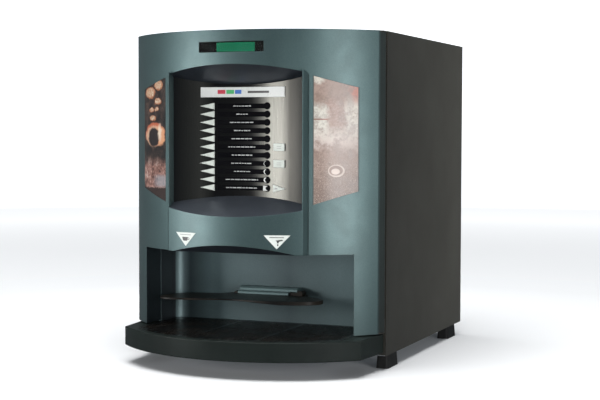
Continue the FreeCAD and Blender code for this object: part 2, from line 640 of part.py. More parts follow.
# ---------------------------------------------------------------- selection panel and keys
KEY_X = (-81.0, -56.0)
KEY_H = 5.6
SQUARE_X = (57.5, 80.0)
SQUARE_H = 6.3
SQUARE_ROWS = {"square_key_upper": 5, "square_key_lower": 7}
ARROW_X = (57.0, 81.5)
ARROW_H = 6.6
keys = {}
for i in range(ROWS):
    z = row_z(i)
    keys["drink_key_%02d" % (i + 1)] = [(KEY_X[0], z), (KEY_X[1], z - KEY_H), (KEY_X[1], z + KEY_H)]
for name, row in SQUARE_ROWS.items():
    z = row_z(row)
    keys[name] = [(SQUARE_X[0], z - SQUARE_H), (SQUARE_X[1], z - SQUARE_H), (SQUARE_X[1], z + SQUARE_H),
                  (SQUARE_X[0], z + SQUARE_H)]
z = row_z(ROWS - 1)
keys["arrow_key"] = [(ARROW_X[0], z - ARROW_H), (ARROW_X[1], z), (ARROW_X[0], z + ARROW_H)]

PANEL_FIT = 0.2
FLANGE_W = 1.1
FLANGE_GAP = 0.3
FLANGE_T = 1.1
STEM_HALF = 2.5
SWITCH_HALF = 3.0
SWITCH_H = 2.8
BOARD_T = 1.6
POST_R = 3.0
POST_X = (-102.0, 102.0)
POST_Z = (320.0, 455.0)
panel = recess_wedge(-PANEL_FIT, REC_X - PANEL_FIT, SHELL_BACK - 0.05)
panel = panel.cut(cyl_z(PANEL_R, 0, PANEL_CY, 200, 620))
cap_ring = ring_z(PANEL_R - KEY_PROUD, SHELL_BACK + 0.6, PANEL_CY, 250, 520)
flange_ring = ring_z(SHELL_BACK + FLANGE_GAP, SHELL_BACK + FLANGE_GAP + FLANGE_T, PANEL_CY, 250, 520)
board = [box(-106, 106, BOARD_Y, BOARD_Y + BOARD_T, 300, 478)]
for name, pts in keys.items():
    stem_x = sum(p[0] for p in pts) / len(pts)
    stem_z = sum(p[1] for p in pts) / len(pts)
    panel = panel.cut(prism_y(grow(pts, KEY_GAP), -120, -30))
    cap = prism_y(pts, -100, -30).common(cap_ring)
    flange = prism_y(grow(pts, FLANGE_W), -100, -30).common(flange_ring)
    stem = box(stem_x - STEM_HALF, stem_x + STEM_HALF, panel_y(stem_x, SHELL_BACK) + 0.2, STEM_END,
               stem_z - STEM_HALF, stem_z + STEM_HALF)
    save(name, fuse([cap, flange, stem]))
    board.append(box(stem_x - SWITCH_HALF, stem_x + SWITCH_HALF, BOARD_Y - SWITCH_H, BOARD_Y + 0.1,
                     stem_z - SWITCH_HALF, stem_z + SWITCH_HALF))
save("selection_panel", panel)
post_y = panel_y(POST_X[1] - POST_R, SHELL_BACK + WALL) + FIT
board += [cyl_y(POST_R, x, z, post_y, BOARD_Y + 0.1) for x in POST_X for z in POST_Z]
save("keypad_board", fuse(board))

# Label strips with a round right-hand end, and the plate above them
LABEL_X = (-50.0, 44.0)
LABEL_H = 4.2
LABEL_END_R = 6.2
LABEL_T = 0.5
HEADER_T = 1.2
HEADER = (-80.0, 80.0, 476.5, 494.0)
label_ring = ring_z(PANEL_R - LABEL_T, PANEL_R, PANEL_CY, 250, 520)
labels = []
for i in range(ROWS):
    z = row_z(i)
    strip = box(*LABEL_X, -120, -30, z - LABEL_H, z + LABEL_H).fuse(cyl_y(LABEL_END_R, LABEL_X[1], z, -120, -30))
    labels.append(label_ring.common(strip.removeSplitter()))
save("label_strips", group(labels))
plate = ring_z(PANEL_R - HEADER_T, PANEL_R, PANEL_CY, 400, 520)
save("header_plate", plate.common(box(HEADER[0], HEADER[1], -120, -30, HEADER[2], HEADER[3])))

# Display window and the module behind it
LENS_T = 2.5
LENS_INSET = 0.3
lens = ring_z(BOW_R - LENS_INSET - LENS_T, BOW_R - LENS_INSET, BOW_CY, 500, 600)
save("display_lens", lens.common(box(-LCD_X, LCD_X, -200, -60, LCD_Z0, LCD_Z1)))

LCD_FRONT = -BOW_DEPTH + 10.2
lcd = fuse([
    box(-64, 64, LCD_FRONT + 5, LCD_FRONT + 6.6, 540, 582),
    box(-60, 60, LCD_FRONT, LCD_FRONT + 5, 546, 575.5),
])
LCD_FIELD = (-29.0, 42.6, 553.0, 568.4)
LCD_SENSOR = (-55.0, -44.0, 555.0, 566.0)
for x0, x1, z0, z1 in (LCD_FIELD, LCD_SENSOR):
    lcd = lcd.cut(box(x0, x1, LCD_FRONT - 1, LCD_FRONT + 0.6, z0, z1))
save("lcd_module", lcd)

# ---------------------------------------------------------------- powder canisters, augers, motors
SHELF_Y = CAN_Y0 + 7
shelf = fuse([
    box(-PLATE_X, PLATE_X, SHELF_Y, REAR_IN - 2, SHELF_Z, SHELF_Z + SHEET),
    box(-PLATE_X, -PLATE_X + SHEET, SHELF_Y, REAR_IN - 2, SHELF_Z - LIP, SHELF_Z + SHEET),
    box(PLATE_X - SHEET, PLATE_X, SHELF_Y, REAR_IN - 2, SHELF_Z - LIP, SHELF_Z + SHEET),
    box(-PLATE_X, PLATE_X, SHELF_Y, SHELF_Y + SHEET, SHELF_Z - 12, SHELF_Z + SHEET),
])
save("canister_shelf", shelf)

TROUGH = 20.5
section = [(-CAN_HALF, CAN_Z1), (-CAN_HALF, CAN_Z0 + 75), (-TROUGH, CAN_Z0 + 28), (-TROUGH, CAN_Z0),
           (TROUGH, CAN_Z0), (TROUGH, CAN_Z0 + 28), (CAN_HALF, CAN_Z0 + 75), (CAN_HALF, CAN_Z1)]
inner_half = CAN_HALF - CAN_T
inner_trough = TROUGH - CAN_T
hollow = [(-inner_half, CAN_Z1 + 1), (-inner_half, CAN_Z0 + 76), (-inner_trough, CAN_Z0 + 29),
          (-inner_trough, CAN_Z0 + CAN_T), (inner_trough, CAN_Z0 + CAN_T), (inner_trough, CAN_Z0 + 29),
          (inner_half, CAN_Z0 + 76), (inner_half, CAN_Z1 + 1)]
can = prism_y(section, CAN_Y0, CAN_Y1).fuse(box(-18, 18, 138, CAN_Y0 + 1, CAN_Z0, CAN_Z0 + 39))
can = cut(can, [
    prism_y(hollow, CAN_Y0 + CAN_T, CAN_Y1 - CAN_T),
    box(-15.5, 15.5, 140.5, CAN_Y0 + 0.5, CAN_Z0 - 5, CAN_Z0 + 36.5),
    cyl_y(15.0, 0, AUGER_Z, CAN_Y0 - 1, CAN_Y0 + CAN_T + 1),
    cyl_y(4.5, 0, AUGER_Z, CAN_Y1 - 5, CAN_Y1 + 5),
]).removeSplitter()

lid = box(-CAN_HALF - 2.2, CAN_HALF + 2.2, CAN_Y0 - 2.2, CAN_Y1 + 2.2, CAN_Z1 - 8, CAN_Z1 + 2.4)
lid = lid.cut(box(-CAN_HALF - 0.3, CAN_HALF + 0.3, CAN_Y0 - 0.3, CAN_Y1 + 0.3, CAN_Z1 - 10, CAN_Z1 + 0.2))
lid = lid.fuse(box(-20, 20, CAN_Y0 + 20, CAN_Y0 + 28, CAN_Z1 + 2, CAN_Z1 + 10)).removeSplitter()

COIL_R = 13.0
WIRE_R = 2.2
COIL_LEN = 250.0
COIL_PITCH = 25.0
helix = Part.makeHelix(COIL_PITCH, COIL_LEN, COIL_R)
profile = Part.Wire(Part.makeCircle(WIRE_R, V(COIL_R, 0, 0), V(0, 1, 0)))
coil = Part.Wire(helix).makePipeShell([profile], True, True)
coil.rotate(V(0, 0, 0), V(1, 0, 0), -90)
coil.translate(V(0, 180, 0))
hub = fuse([
    cyl_y(6.0, 0, 0, 428, CAN_Y1 - CAN_T - 0.5), cyl_y(4.0, 0, 0, 428, 457),
    box(-2.2, COIL_R + 1.5, 427.5, 431.5, -2.2, 2.2),
])
auger = coil.fuse(hub)

MOTOR_Y0 = 446.0
motor = fuse([
    box(-20, 20, MOTOR_Y0, MOTOR_Y0 + 20, SHELF_Z + SHEET, SHELF_Z + SHEET + 42),
    cyl_y(15.0, 0, AUGER_Z, MOTOR_Y0 + 19, 476),
]).cut(cyl_y(4.06, 0, AUGER_Z, MOTOR_Y0 - 1, 458))
whip = fuse([
    cyl_y(20.0, 0, MIX_Z, 176, 222),
    box(-24, 24, 172, 176.5, MIX_Z - 24, MIX_Z + 24),
]).cut(cyl_y(3.06, 0, MIX_Z, 170, 196))
bolt = [cyl_y(2.0, sx2 * 20.0, MIX_Z + sz2 * 20.0, 171, 173) for sx2 in (-1, 1) for sz2 in (-1, 1)]
whip = fuse([whip] + bolt)

OUTLET_R = 4.9
OUTLET_Z = MIX_Z - 8
# Mixing bowl: funnel over a round whipping chamber with an outlet to the front
rect_top = Part.makePolygon([V(-50, 118, 322), V(50, 118, 322), V(50, 170, 322), V(-50, 170, 322),
                             V(-50, 118, 322)])
rect_low = Part.makePolygon([V(-20, 132, 268), V(20, 132, 268), V(20, 160, 268), V(-20, 160, 268),
                             V(-20, 132, 268)])
in_top = Part.makePolygon([V(-48, 120, 323), V(48, 120, 323), V(48, 168, 323), V(-48, 168, 323),
                           V(-48, 120, 323)])
in_low = Part.makePolygon([V(-12, 136, 255), V(12, 136, 255), V(12, 156, 255), V(-12, 156, 255),
                           V(-12, 136, 255)])
bowl = fuse([Part.makeLoft([rect_low, rect_top], True, True), cyl_y(26.0, 0, MIX_Z, 128, 166),
             cyl_y(OUTLET_R, 0, OUTLET_Z, 100, 130)])
bowl = cut(bowl, [
    Part.makeLoft([in_low, in_top], True, True), cyl_y(23.5, 0, MIX_Z, 130.5, 163.5),
    cyl_y(3.5, 0, OUTLET_Z, 99, 132), cyl_y(3.3, 0, MIX_Z, 160, 170),
])

blades = [box(-1.2, 1.2, 140, 156, 0, 17) for _ in range(4)]
for n, b in enumerate(blades):
    b.rotate(V(0, 0, 0), V(0, 1, 0), 90 * n)
impeller = fuse([cyl_y(18.0, 0, 0, 154, 156.5), cyl_y(5.0, 0, 0, 138, 156), cyl_y(3.0, 0, 0, 150, 195)] + blades)

motors = []
bowls = []
for n, x in enumerate(CAN_X):
    for name, shape, z in (("canister_%d", can, 0), ("canister_lid_%d", lid, 0),
                           ("auger_%d", auger, AUGER_Z), ("impeller_%d", impeller, MIX_Z)):
        part = shape.copy()
        part.translate(V(x, 0, z))
        save(name % (n + 1), part)
    for shape, out in ((motor, motors), (whip, motors), (bowl, bowls)):
        part = shape.copy()
        part.translate(V(x, 0, 0))
        out.append(part)
save("gear_motors", group(motors))
save("mixing_bowls", group(bowls))

# Spout block over the bay; one hose from each whipping chamber, slipped over its outlet
SPOUT_X = (-32.0, 0.0, 32.0)
SPOUT_R = 7.0
SPOUT_BORE = 4.5
HOSE_R = 6.6
HOSE_BORE = 5.0
BEND_Y = 92.0
BLOCK_Z = (222.0, 250.0)
block = rounded_box(-BLOCK_HALF[0], BLOCK_HALF[0], SPOUT_Y - BLOCK_HALF[1], SPOUT_Y + BLOCK_HALF[1],
                    BLOCK_Z[0], BLOCK_Z[1], 6.0)
spouts = fuse([block] + [cyl_z(SPOUT_R, x, SPOUT_Y, BLOCK_Z[0] - 12, BLOCK_Z[0] + 1) for x in SPOUT_X])
spouts = cut(spouts, [cyl_z(SPOUT_BORE, x, SPOUT_Y, BLOCK_Z[0] - 17, BLOCK_Z[0] + 14) for x in SPOUT_X])
hoses = []
bores = []
for x, target in zip(CAN_X, SPOUT_X):
    bend = V(x, BEND_Y, OUTLET_Z)
    end = V(target, SPOUT_Y + BLOCK_HALF[1] - 1, OUTLET_Z)
    run = end.sub(bend)
    hoses += [cyl_y(HOSE_R, x, OUTLET_Z, BEND_Y, 112), Part.makeSphere(HOSE_R, bend),
              Part.makeCylinder(HOSE_R, run.Length, bend, run)]
    bores += [cyl_y(HOSE_BORE, x, OUTLET_Z, BEND_Y, 113), Part.makeSphere(HOSE_BORE, bend),
              Part.makeCylinder(HOSE_BORE, run.Length - 2, bend, run)]
save("spout_block", fuse([spouts, cut(fuse(hoses), bores)]))

# Boiler tank on three legs, thin-walled, with two solenoid valves over its ports
TANK = (120.0, 330.0)
TANK_R = 62.0
TANK_Z = (55.0, 205.0)
TANK_T = 2.0
TANK_FILLET = 14.0
VALVE_DX = 25.0


def drum(r, z0, z1, fillet):
    d = cyl_z(r, TANK[0], TANK[1], z0, z1)
    return d.makeFillet(fillet, [e for e in d.Edges if e.BoundBox.ZLength < 1e-6])


tank = [drum(TANK_R, TANK_Z[0], TANK_Z[1], TANK_FILLET), cyl_z(TANK_R + 4, TANK[0], TANK[1], 150, 155)]
for a in (90, 210, 330):
    leg_x = TANK[0] + 40 * math.cos(math.radians(a))
    leg_y = TANK[1] + 40 * math.sin(math.radians(a))
    tank.append(cyl_z(6.0, leg_x, leg_y, CAB_Z0 + SHEET, TANK_Z[0] + 1))
tank = cut(fuse(tank), [drum(TANK_R - TANK_T, TANK_Z[0] + TANK_T, TANK_Z[1] - TANK_T, TANK_FILLET - TANK_T)] + [
    cyl_z(3.0, TANK[0] + s * VALVE_DX, TANK[1], 190, 210) for s in (-1, 1)])
save("boiler_tank", tank)
valves = []
for s in (-1, 1):
    x = TANK[0] + s * VALVE_DX
    valve = fuse([cyl_z(6.0, x, TANK[1], TANK_Z[1], 216), cyl_z(11.0, x, TANK[1], 231, 262),
                  box(x - 12, x + 12, TANK[1] - 15, TANK[1] + 15, 215, 232),
                  cyl_y(5.0, x, 223, TANK[1] - 40, TANK[1] - 14)])
    valves.append(cut(valve, [cyl_z(3.0, x, TANK[1], 200, 223), cyl_y(3.0, x, 223, TANK[1] - 41, TANK[1])]))
save("water_valves", group(valves))

# Water inlet fitting below the base pan, mains inlet in the rear panel
wx, wy = WATER_XY
hexagon = [(wx + 17 * math.cos(math.radians(a)), wy + 17 * math.sin(math.radians(a))) for a in range(0, 360, 60)]
fitting = fuse([
    prism_z(hexagon, CAB_Z0 - 4, CAB_Z0), cyl_z(11.0, wx, wy, 6, CAB_Z0 + 12),
    prism_z(hexagon, CAB_Z0 + SHEET, CAB_Z0 + SHEET + 5),
]).cut(cyl_z(7.0, wx, wy, 0, 60))
save("water_inlet_fitting", fitting)

SOCKET = (12.0, 8.0)
SOCKET_Y = 465.0
SOCKET_BEVEL = 4.0
PIN_AT = ((-7.0, -1.5), (0.0, 2.5), (7.0, -1.5))
ix, iz = INLET
sw, sh = SOCKET
inlet = fuse([
    box(ix - 30, ix + 30, REAR_OUT, CAB_D, iz - 17, iz + 17),
    box(ix - INLET_HALF[0] + 0.5, ix + INLET_HALF[0] - 0.5, 450, REAR_OUT,
        iz - INLET_HALF[1] + 0.5, iz + INLET_HALF[1] - 0.5),
])
inlet = inlet.cut(prism_y([(ix - sw, iz + sh), (ix + sw, iz + sh), (ix + sw, iz - sh + SOCKET_BEVEL),
                           (ix + sw - SOCKET_BEVEL, iz - sh), (ix - sw + SOCKET_BEVEL, iz - sh),
                           (ix - sw, iz - sh + SOCKET_BEVEL)], SOCKET_Y, 500))
pins = [box(ix + dx - 1, ix + dx + 1, SOCKET_Y - 1, SOCKET_Y + 16, iz + dz - 2.5, iz + dz + 2.5) for dx, dz in PIN_AT]
save("mains_inlet", fuse([inlet] + pins))
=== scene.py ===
"""Looks for the countertop hot-drink machine: procedural materials, painted shade and glints, printed marks
and studio.
"""

import bpy
import bmesh
import math
import random
from mathutils import Matrix, Vector
from mathutils.bvhtree import BVHTree


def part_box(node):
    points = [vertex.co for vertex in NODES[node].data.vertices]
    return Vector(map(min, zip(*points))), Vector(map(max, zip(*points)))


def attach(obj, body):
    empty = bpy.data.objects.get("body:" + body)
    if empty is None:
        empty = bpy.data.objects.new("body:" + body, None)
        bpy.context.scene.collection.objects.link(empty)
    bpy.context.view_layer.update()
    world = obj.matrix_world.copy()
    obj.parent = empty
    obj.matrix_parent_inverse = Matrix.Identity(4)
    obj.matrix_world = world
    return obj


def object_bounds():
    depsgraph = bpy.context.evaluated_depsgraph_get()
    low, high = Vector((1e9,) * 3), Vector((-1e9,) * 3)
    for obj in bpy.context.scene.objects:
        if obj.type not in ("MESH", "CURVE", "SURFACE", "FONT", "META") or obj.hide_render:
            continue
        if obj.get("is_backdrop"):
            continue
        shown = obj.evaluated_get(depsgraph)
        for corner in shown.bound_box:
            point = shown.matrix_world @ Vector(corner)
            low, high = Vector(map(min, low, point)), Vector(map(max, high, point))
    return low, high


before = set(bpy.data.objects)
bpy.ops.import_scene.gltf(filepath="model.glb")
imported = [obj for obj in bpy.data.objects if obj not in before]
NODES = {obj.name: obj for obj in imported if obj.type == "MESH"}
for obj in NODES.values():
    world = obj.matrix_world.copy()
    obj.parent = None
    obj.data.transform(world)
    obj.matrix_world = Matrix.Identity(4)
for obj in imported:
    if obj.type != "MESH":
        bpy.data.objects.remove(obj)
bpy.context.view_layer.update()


# ---------------------------------------------------------------- camera
CAM_AT = (0.9987, -2.4255, 0.4185)
CAM_YAW = 22.0144
CAM_DOWN = 2.8728
CAM_ROLL = 0.137
LENS = 83.105
SENSOR = 36.0


def make_camera():
    data = bpy.data.cameras.new("camera")
    data.lens = LENS
    data.sensor_width = SENSOR
    data.clip_end = 50.0
    cam = bpy.data.objects.new("camera", data)
    cam.location = CAM_AT
    turn = Matrix.Rotation(math.radians(CAM_YAW), 4, "Z")
    tilt = Matrix.Rotation(math.radians(90.0 - CAM_DOWN), 4, "X")
    roll = Matrix.Rotation(math.radians(CAM_ROLL), 4, "Z")
    cam.matrix_world = Matrix.Translation(CAM_AT) @ turn @ tilt @ roll
    bpy.context.scene.collection.objects.link(cam)
    bpy.context.scene.camera = cam


make_camera()


# ---------------------------------------------------------------- places the finishes refer to, in metres
SEAM_Y = -0.147
BACK_Y = 0.295
BAY_TOP_Z = 0.208
CHEEK_X = (0.196, 0.203)
DOOR_EDGE_X = (0.2320, 0.2345)
BAY_HALF_X = 0.2
BAY_LEFT_WALL_X = (-0.180, -0.190)
LCD_FIELD_X = (-0.0289, 0.0425)
LCD_FIELD_Z = (0.5531, 0.5683)
LCD_CELL = 0.0046
LCD_CELL_Z = (0.5563, 0.5652)
LABEL_END_R = 0.0062
BADGE_X = 0.086
ICON_LIFT = 0.0005


# ---------------------------------------------------------------- material building
class Shader:
    """A principled material and short helpers for its nodes."""

    def __init__(self, name, **values):
        self.mat = bpy.data.materials.new(name)
        self.mat.use_nodes = True
        self.tree = self.mat.node_tree
        self.tree.nodes.clear()
        self.bsdf = self.tree.nodes.new("ShaderNodeBsdfPrincipled")
        out = self.tree.nodes.new("ShaderNodeOutputMaterial")
        self.link(self.bsdf.outputs[0], out.inputs["Surface"])
        for key, value in values.items():
            self.bsdf.inputs[key.replace("_", " ")].default_value = value
        self.coords = self.tree.nodes.new("ShaderNodeTexCoord")
        self.at = self.coords.outputs["Object"]
        self.height = None

    def link(self, a, b):
        self.tree.links.new(a, b)

    def put(self, socket, value):
        if hasattr(value, "is_linked") or hasattr(value, "links"):
            self.link(value, socket)
        elif isinstance(value, (tuple, list)) and len(value) == 3 and socket.type == "RGBA":
            socket.default_value = (*value, 1.0)
        else:
            socket.default_value = value

    def math(self, op, a, b=0.0, c=None):
        n = self.tree.nodes.new("ShaderNodeMath")
        n.operation = op
        self.put(n.inputs[0], a)
        self.put(n.inputs[1], b)
        if c is not None:
            self.put(n.inputs[2], c)
        return n.outputs[0]

    def axes(self, vector=None):
        n = self.tree.nodes.new("ShaderNodeSeparateXYZ")
        self.link(vector or self.at, n.inputs[0])
        return n.outputs[0], n.outputs[1], n.outputs[2]

    def stretch(self, scale):
        n = self.tree.nodes.new("ShaderNodeMapping")
        self.link(self.at, n.inputs["Vector"])
        n.inputs["Scale"].default_value = scale
        return n.outputs[0]

    def noise(self, size, detail=2.0, rough=0.5, vector=None):
        n = self.tree.nodes.new("ShaderNodeTexNoise")
        self.link(vector or self.at, n.inputs["Vector"])
        n.inputs["Scale"].default_value = 1.0 / size
        n.inputs["Detail"].default_value = detail
        n.inputs["Roughness"].default_value = rough
        return n.outputs["Fac"]

    def cells(self, size, output="Color", vector=None, feature="F1"):
        n = self.tree.nodes.new("ShaderNodeTexVoronoi")
        n.feature = feature
        self.link(vector or self.at, n.inputs["Vector"])
        n.inputs["Scale"].default_value = 1.0 / size
        return n.outputs[output]

    def ramp(self, fac, stops):
        n = self.tree.nodes.new("ShaderNodeValToRGB")
        self.link(fac, n.inputs[0])
        ramp = n.color_ramp
        while len(ramp.elements) < len(stops):
            ramp.elements.new(0.5)
        for e, (pos, col) in zip(ramp.elements, stops):
            e.position = pos
            e.color = (*col, 1.0) if len(col) == 3 else col
        return n.outputs[0]

    def mix(self, fac, a, b, blend="MIX"):
        n = self.tree.nodes.new("ShaderNodeMix")
        n.data_type = "RGBA"
        n.blend_type = blend
        self.put(n.inputs[0], fac)
        self.put(n.inputs[6], a)
        self.put(n.inputs[7], b)
        return n.outputs[2]

    def remap(self, value, low, high, to_low=0.0, to_high=1.0):
        n = self.tree.nodes.new("ShaderNodeMapRange")
        self.put(n.inputs[0], value)
        for i, v in enumerate((low, high, to_low, to_high)):
            n.inputs[i + 1].default_value = v
        return n.outputs[0]

    def color(self, value):
        self.put(self.bsdf.inputs["Base Color"], value)

    def rough(self, value):
        self.put(self.bsdf.inputs["Roughness"], value)

    def bump(self, height, depth, strength=1.0, soft=0.0):
        """Bump of a height map, over softened edges of radius soft."""
        n = self.tree.nodes.new("ShaderNodeBump")
        n.inputs["Strength"].default_value = strength
        n.inputs["Distance"].default_value = depth
        self.link(height, n.inputs["Height"])
        if soft:
            self.link(self.edge(soft), n.inputs["Normal"])
        self.link(n.outputs[0], self.bsdf.inputs["Normal"])

    def edge(self, radius):
        n = self.tree.nodes.new("ShaderNodeBevel")
        n.samples = 4
        n.inputs["Radius"].default_value = radius
        return n.outputs[0]

    def band(self, value, low, high, soft):
        """1 between low and high, with soft shoulders."""
        up = self.remap(value, low - soft, low + soft)
        down = self.remap(value, high - soft, high + soft, 1.0, 0.0)
        return self.math("MULTIPLY", up, down)

    def spot(self, x, z, cx, cz, rx, rz, soft=0.06):
        """1 inside an ellipse in the x, z plane, fading over soft of its radius."""
        dx = self.math("DIVIDE", self.math("SUBTRACT", x, cx), rx)
        dz = self.math("DIVIDE", self.math("SUBTRACT", z, cz), rz)
        d = self.math("SQRT", self.math("ADD", self.math("MULTIPLY", dx, dx), self.math("MULTIPLY", dz, dz)))
        return self.remap(d, 1.0 - soft, 1.0 + soft, 1.0, 0.0)


def grainy(name, dark, light, grain, rough=(0.4, 0.55), depth=0.00004, soft=0.0006, patch=0.08, painted_rear_light=0.0,
           **values):
    """Plain moulded or coated surface: slow tone change, fine grain and uneven gloss.

    painted_rear_light is how many times lighter the colour is painted from the door seam to the back, a
    painted light gradient.
    """
    s = Shader(name, **values)
    slow = s.noise(patch, 3.0)
    fine = s.noise(grain, 2.0, 0.6)
    tone = s.ramp(s.math("ADD", s.math("MULTIPLY", slow, 0.6), s.math("MULTIPLY", fine, 0.4)),
                  [(0.3, dark), (0.7, light)])
    # painted light: the colour is painted lighter from the door seam towards the back
    if painted_rear_light:
        tone = s.mix(s.remap(s.axes()[1], SEAM_Y, BACK_Y), tone, s.mix(1.0, tone, [painted_rear_light] * 3, "MULTIPLY"))
    s.color(tone)
    s.rough(s.remap(s.noise(patch * 0.4, 4.0), 0.3, 0.7, *rough))
    s.bump(fine, depth, 0.6, soft)
    return s.mat


def brushed(name, dark, light, along, rough=(0.25, 0.4), metallic=1.0):
    """Sheet metal with fine lines along one axis."""
    s = Shader(name, Metallic=metallic)
    scale = [1.0, 1.0, 1.0]
    scale["xyz".index(along)] = 0.03
    lines = s.noise(0.0006, 3.0, 0.6, s.stretch(scale))
    slow = s.noise(0.05, 3.0)
    s.color(s.ramp(s.math("ADD", s.math("MULTIPLY", slow, 0.5), s.math("MULTIPLY", lines, 0.5)),
                   [(0.3, dark), (0.7, light)]))
    s.rough(s.remap(lines, 0.3, 0.7, *rough))
    s.bump(lines, 0.00003, 0.5, 0.0004)
    return s.mat


def galvanised(name):
    """Zinc-coated sheet with a soft spangle."""
    s = Shader(name, Metallic=0.9)
    spangle = s.cells(0.007)
    fine = s.noise(0.0008, 3.0)
    grey = s.math("ADD", s.math("MULTIPLY", s.axes(spangle)[0], 0.5), s.math("MULTIPLY", fine, 0.5))
    s.color(s.ramp(grey, [(0.1, (0.33, 0.34, 0.35)), (0.9, (0.55, 0.56, 0.57))]))
    s.rough(s.remap(grey, 0.0, 1.0, 0.3, 0.5))
    s.bump(fine, 0.00003, 0.5, 0.0004)
    return s.mat


def metallic_paint(name, dark, light, facet=None, shade=None, rough=(0.44, 0.52), metallic=0.85, coat=0.5):
    """Metallic enamel: sub-millimetre flakes, slight orange peel, dark tilted facets if asked.

    shade is a function of the shader and its colour that returns the colour with painted light and shade laid
    on.
    """
    s = Shader(name, Metallic=metallic, Coat_Weight=coat, Coat_Roughness=0.35)
    flake = s.axes(s.cells(0.00045))[0]
    slow = s.noise(0.12, 3.0)
    cloud = s.noise(0.004, 3.0, 0.6)
    tone = s.math("ADD", s.math("MULTIPLY", flake, 0.40), s.math("MULTIPLY", slow, 0.35))
    tone = s.math("ADD", tone, s.math("MULTIPLY", cloud, 0.25))
    paint = s.ramp(tone, [(0.15, dark), (0.85, light)])
    if facet:
        up = s.axes(s.coords.outputs["Normal"])[2]
        tilt = s.math("ABSOLUTE", up)
        mask = s.band(tilt, 0.55, 0.965, 0.01)
        paint = s.mix(mask, paint, s.mix(flake, facet, [c * 1.35 for c in facet]))
    s.color(shade(s, paint) if shade else paint)
    s.rough(s.remap(s.noise(0.03, 4.0), 0.3, 0.7, *rough))
    peel = s.math("ADD", s.math("MULTIPLY", s.noise(0.0022, 2.0), 0.7), s.math("MULTIPLY", flake, 0.3))
    s.bump(peel, 0.00004, 0.5, 0.0008)
    return s.mat


def door_painted_shade(s, paint):
    """Painted shade on the inner cheeks of the legs and at the foot and top, and the side edges darkened
    towards brown.
    """
    x, _, z = s.axes()
    side = s.math("ABSOLUTE", x)
    turned = s.math("GREATER_THAN", s.math("ABSOLUTE", s.axes(s.coords.outputs["Normal"])[0]), 0.9)
    # painted shade: the door is darker towards its foot and its top
    height_shade = s.ramp(z, [(0.05, (0.60, 0.60, 0.61)), (0.24, (0.93, 0.93, 0.93)), (0.38, (1.0, 1.0, 1.0)),
                      (0.56, (0.95, 0.95, 0.95)), (0.67, (0.72, 0.73, 0.74))])
    paint = s.mix(1.0, paint, height_shade, "MULTIPLY")
    # painted shade on the inner cheeks of the legs beside the cup bay
    cheek = s.math("MULTIPLY", s.band(side, *CHEEK_X, 0.0003),
                   s.remap(z, BAY_TOP_Z, BAY_TOP_Z + 0.0005, 1.0, 0.0))
    paint = s.mix(s.math("MULTIPLY", turned, cheek), paint, (0.020, 0.026, 0.033))
    edge = s.remap(side, *DOOR_EDGE_X, 0.0, 0.75)
    return s.mix(edge, paint, (0.030, 0.030, 0.026))


def bay_painted_light(s, paint):
    """Painted shade on the left wall inside the cup bay, and a painted corner highlight and painted shade
    over the back, deepest in its middle.
    """
    x, _, _ = s.axes()
    # painted light: a highlight streak near the left corner and painted shade beside it, darkest in the
    # middle
    bay_light_ramp = s.ramp(s.remap(x, -BAY_HALF_X, BAY_HALF_X),
                    [(0.03, (0.80, 0.81, 0.82)), (0.065, (0.34, 0.35, 0.37)), (0.18, (0.95, 0.97, 0.98)),
                     (0.32, (0.66, 0.67, 0.68)), (0.57, (0.42, 0.42, 0.43)), (0.82, (0.90, 0.90, 0.90))])
    paint = s.mix(1.0, paint, bay_light_ramp, "MULTIPLY")
    # painted shade on the left wall inside the bay
    turned = s.math("GREATER_THAN", s.axes(s.coords.outputs["Normal"])[0], 0.9)
    return s.mix(s.math("MULTIPLY", turned, s.remap(x, *BAY_LEFT_WALL_X)), paint, (0.022, 0.027, 0.032))


# the door colour carries painted shade at its foot, top and inner cheeks
DOOR = metallic_paint("door_enamel", (0.064, 0.116, 0.120), (0.122, 0.188, 0.188),
                      facet=(0.050, 0.060, 0.076), shade=door_painted_shade)
# the bay colour carries a painted highlight and painted shade
BAY = metallic_paint("bay_lacquer", (0.150, 0.220, 0.230), (0.230, 0.325, 0.335), shade=bay_painted_light,
                     rough=(0.38, 0.46), metallic=0.45, coat=0.2)
BRACKET = metallic_paint("bracket_lacquer", (0.13, 0.21, 0.215), (0.21, 0.30, 0.305), metallic=0.5)
# painted light: the cabinet colour is painted lighter towards the back
CABINET = grainy("cabinet_powder_coat", (0.021, 0.020, 0.016), (0.030, 0.029, 0.024), 0.0009, (0.46, 0.54),
                 0.00006, 0.0012, 0.25, painted_rear_light=2.3, Specular_IOR_Level=0.3)
TRAY = grainy("tray_moulding", (0.008, 0.011, 0.010), (0.014, 0.019, 0.017), 0.0007, (0.34, 0.44),
              0.00004, 0.0008, Specular_IOR_Level=0.12)
FOOT = grainy("foot_rubber", (0.007, 0.007, 0.007), (0.016, 0.016, 0.016), 0.0012, (0.6, 0.8), 0.00008,
              Specular_IOR_Level=0.3)
BLACK = grainy("black_moulding", (0.010, 0.010, 0.011), (0.022, 0.022, 0.024), 0.0008, (0.4, 0.55))
WHITE_KEY = grainy("white_key", (0.48, 0.52, 0.47), (0.60, 0.63, 0.58), 0.0006, (0.4, 0.5), 0.00002, 0.0004)
BADGE = grainy("badge_white", (0.56, 0.60, 0.56), (0.68, 0.71, 0.67), 0.002, (0.35, 0.5), 0.00001, 0.0)
CLEAR_PLASTIC = grainy("canister_plastic", (0.50, 0.49, 0.44), (0.63, 0.62, 0.57), 0.001, (0.3, 0.5), 0.00004,
                       0.001, Transmission_Weight=0.15)
LID = grainy("lid_brown", (0.045, 0.022, 0.010), (0.075, 0.038, 0.018), 0.0009, (0.4, 0.55))
COIL = grainy("coil_plastic", (0.55, 0.54, 0.48), (0.68, 0.67, 0.61), 0.0008, (0.35, 0.5))
